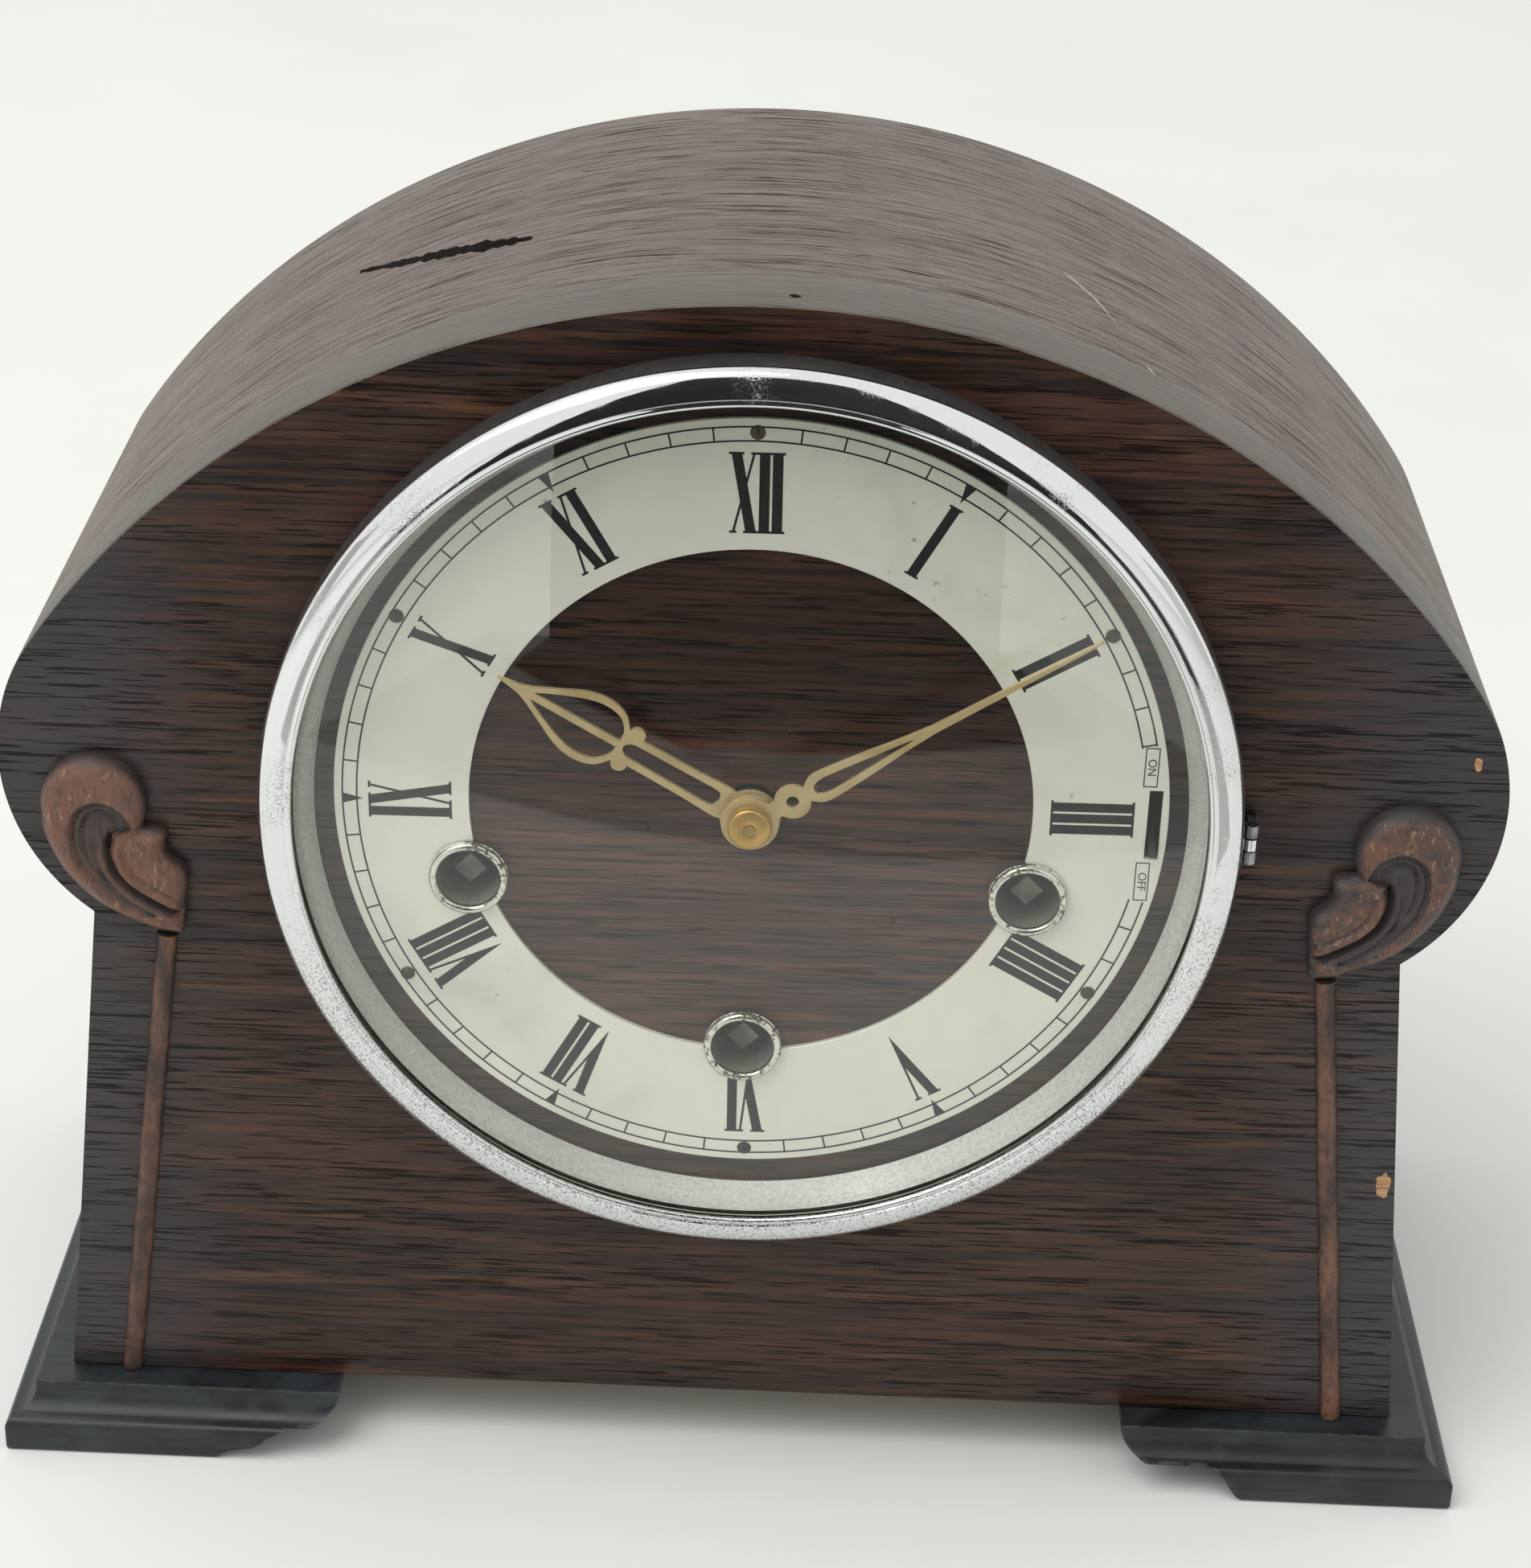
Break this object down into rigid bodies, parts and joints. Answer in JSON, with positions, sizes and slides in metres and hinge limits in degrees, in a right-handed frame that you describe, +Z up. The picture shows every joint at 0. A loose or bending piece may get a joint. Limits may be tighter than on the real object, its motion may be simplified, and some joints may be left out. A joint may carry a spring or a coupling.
{
  "type": "mantel clock",
  "caption": "Arched oak mantel clock on bracket feet with hinged domed glass, silvered chapter ring, pierced brass hands, winding holes, pendulum movement and chime rods.",
  "frame": {"origin": "centre of the bounding box on the table plane under the feet", "axes": "+X to the viewer's right, front faces -Y, +Z up"},
  "size_m": [0.2746, 0.1286, 0.2309],
  "materials": {
    "oak": "dark stained oak, old shellac",
    "wrap": "dark stained oak veneer, worn",
    "ebonised": "black stained wood",
    "carved": "carved oak rubbed back to brown",
    "inside": "thin stained ply",
    "chrome": "chromium plate with pitting",
    "silver": "matt silvered metal",
    "brass": "lacquered brass",
    "steel": "plain steel",
    "iron": "black painted iron",
    "glass": "clear domed glass"
  },
  "bodies": {
    "case": {"front_panel": "oak", "top_wrap": "wrap", "right_side": "wrap", "left_side": "wrap", "base_board": "inside", "back_panel": "inside", "right_foot": "ebonised", "left_foot": "ebonised", "right_scroll": "carved", "left_scroll": "carved", "right_bead": "carved", "left_bead": "carved", "back_hinge": "brass", "chapter_ring": "silver", "left_collet": "chrome", "lower_collet": "chrome", "right_collet": "chrome", "bezel_hinge_leaf": "chrome", "bezel_hinge_pin": "steel", "front_plate": "brass", "back_plate": "brass", "pendulum_cock": "brass", "hammer_arbor": "steel", "chime_bracket": "brass", "gong_block": "iron", "chime_rod_1": "steel", "chime_rod_2": "steel", "chime_rod_3": "steel", "chime_rod_4": "steel"},
    "front_door": {"bezel_ring": "chrome", "sight_ring": "silver", "bezel_glass": "glass"},
    "rear_door": {"back_door": "inside", "door_leaf": "brass"},
    "rear_catch": {"door_catch": "brass"},
    "minute": {"centre_wheel": "brass", "minute_hand": "brass", "hand_nut": "brass"},
    "hour": {"hour_wheel": "brass", "hour_hand": "brass"},
    "motion": {"minute_wheel": "brass"},
    "intermediate": {"intermediate_wheel": "brass"},
    "going_barrel": {"time_barrel": "brass"},
    "third": {"third_wheel": "brass"},
    "escape": {"escape_wheel": "brass"},
    "anchor": {"pallets": "steel"},
    "bob": {"pendulum": "brass"},
    "regulator": {"rating_nut": "brass"},
    "silencer": {"chime_lever": "iron"},
    "going_square": {"time_arbor": "steel"},
    "strike_square": {"strike_arbor": "steel"},
    "chime_square": {"chime_arbor": "steel"},
    "striking_barrel": {"strike_barrel": "brass"},
    "chiming_barrel": {"chime_barrel": "brass"},
    "drum": {"chime_drum": "brass"},
    "hammer_body_1": {"hammer_1": "steel"},
    "hammer_body_2": {"hammer_2": "steel"},
    "hammer_body_3": {"hammer_3": "steel"},
    "hammer_body_4": {"hammer_4": "steel"}
  },
  "joints": [
    {"name": "front_door_hinge", "type": "hinge", "parent": "case", "child": "front_door", "pos_m": [0.0868, -0.0517, 0.138], "axis": [0, 0, 1], "range_deg": [0, 110]},
    {"name": "rear_door_hinge", "type": "hinge", "parent": "case", "child": "rear_door", "pos_m": [0.0665, 0.0622, 0.1265], "axis": [0, 0, -1], "range_deg": [0, 110]},
    {"name": "rear_catch_turn", "type": "hinge", "parent": "case", "child": "rear_catch", "pos_m": [-0.072, 0.0612, 0.1245], "axis": [0, 1, 0], "range_deg": [0, 90]},
    {"name": "minute_turn", "type": "hinge", "parent": "case", "child": "minute", "pos_m": [0, -0.0027, 0.1395], "axis": [0, 1, 0], "continuous": true},
    {"name": "hour_turn", "type": "hinge", "parent": "case", "child": "hour", "pos_m": [0, -0.0377, 0.1395], "axis": [0, 1, 0], "continuous": true},
    {"name": "motion_turn", "type": "hinge", "parent": "case", "child": "motion", "pos_m": [-0.0127, -0.0317, 0.1268], "axis": [0, 1, 0], "continuous": true},
    {"name": "intermediate_turn", "type": "hinge", "parent": "case", "child": "intermediate", "pos_m": [0.0093, -0.0027, 0.1218], "axis": [0, 1, 0], "continuous": true},
    {"name": "going_barrel_turn", "type": "hinge", "parent": "case", "child": "going_barrel", "pos_m": [0, -0.0027, 0.0917], "axis": [0, 1, 0], "continuous": true},
    {"name": "third_turn", "type": "hinge", "parent": "case", "child": "third", "pos_m": [-0.0122, -0.0027, 0.154], "axis": [0, 1, 0], "continuous": true},
    {"name": "escape_turn", "type": "hinge", "parent": "case", "child": "escape", "pos_m": [0, -0.0027, 0.1665], "axis": [0, 1, 0], "continuous": true},
    {"name": "pendulum_swing", "type": "hinge", "parent": "case", "child": "bob", "pos_m": [0, 0.0313, 0.18347], "axis": [0, 1, 0], "range_deg": [-4, 4]},
    {"name": "anchor_swing", "type": "hinge", "parent": "case", "child": "anchor", "pos_m": [0, -0.0027, 0.18347], "axis": [0, 1, 0], "range_deg": [-4, 4]},
    {"name": "regulator_turn", "type": "hinge", "parent": "bob", "child": "regulator", "pos_m": [0, 0.0313, 0.05867], "axis": [0, 0, 1], "continuous": true},
    {"name": "silencer_turn", "type": "hinge", "parent": "case", "child": "silencer", "pos_m": [0.03, -0.0372, 0.1395], "axis": [0, -1, 0], "range_deg": [0, 11.6]},
    {"name": "going_winding", "type": "hinge", "parent": "case", "child": "going_square", "pos_m": [0, -0.0027, 0.0917], "axis": [0, 1, 0], "continuous": true},
    {"name": "strike_winding", "type": "hinge", "parent": "case", "child": "strike_square", "pos_m": [-0.0491, -0.0027, 0.1241], "axis": [0, 1, 0], "continuous": true},
    {"name": "chime_winding", "type": "hinge", "parent": "case", "child": "chime_square", "pos_m": [0.0491, -0.0027, 0.1241], "axis": [0, 1, 0], "continuous": true},
    {"name": "striking_barrel_turn", "type": "hinge", "parent": "case", "child": "striking_barrel", "pos_m": [-0.0491, -0.0027, 0.1241], "axis": [0, 1, 0], "continuous": true},
    {"name": "chiming_barrel_turn", "type": "hinge", "parent": "case", "child": "chiming_barrel", "pos_m": [0.0491, -0.0027, 0.1241], "axis": [0, 1, 0], "continuous": true},
    {"name": "drum_turn", "type": "hinge", "parent": "case", "child": "drum", "pos_m": [0.06598, -0.0027, 0.0975], "axis": [0, 1, 0], "continuous": true},
    {"name": "hammer_lift_1", "type": "hinge", "parent": "case", "child": "hammer_body_1", "pos_m": [0.044, 0.0263, 0.0735], "axis": [0, -1, 0], "range_deg": [0, 12]},
    {"name": "hammer_lift_2", "type": "hinge", "parent": "case", "child": "hammer_body_2", "pos_m": [0.044, 0.0323, 0.0735], "axis": [0, -1, 0], "range_deg": [0, 12]},
    {"name": "hammer_lift_3", "type": "hinge", "parent": "case", "child": "hammer_body_3", "pos_m": [0.044, 0.0383, 0.0735], "axis": [0, -1, 0], "range_deg": [0, 12]},
    {"name": "hammer_lift_4", "type": "hinge", "parent": "case", "child": "hammer_body_4", "pos_m": [0.044, 0.0443, 0.0735], "axis": [0, -1, 0], "range_deg": [0, 12]}
  ],
  "couplings": [
    {"joint": "hour_turn", "follows": "minute_turn", "ratio": 0.083333},
    {"joint": "motion_turn", "follows": "minute_turn", "ratio": -0.33333},
    {"joint": "intermediate_turn", "follows": "minute_turn", "ratio": -0.25},
    {"joint": "going_barrel_turn", "follows": "minute_turn", "ratio": 0.041667},
    {"joint": "third_turn", "follows": "minute_turn", "ratio": -11},
    {"joint": "escape_turn", "follows": "minute_turn", "ratio": 121},
    {"joint": "anchor_swing", "follows": "pendulum_swing", "ratio": 1},
    {"joint": "drum_turn", "follows": "chiming_barrel_turn", "ratio": -6}
  ]
}
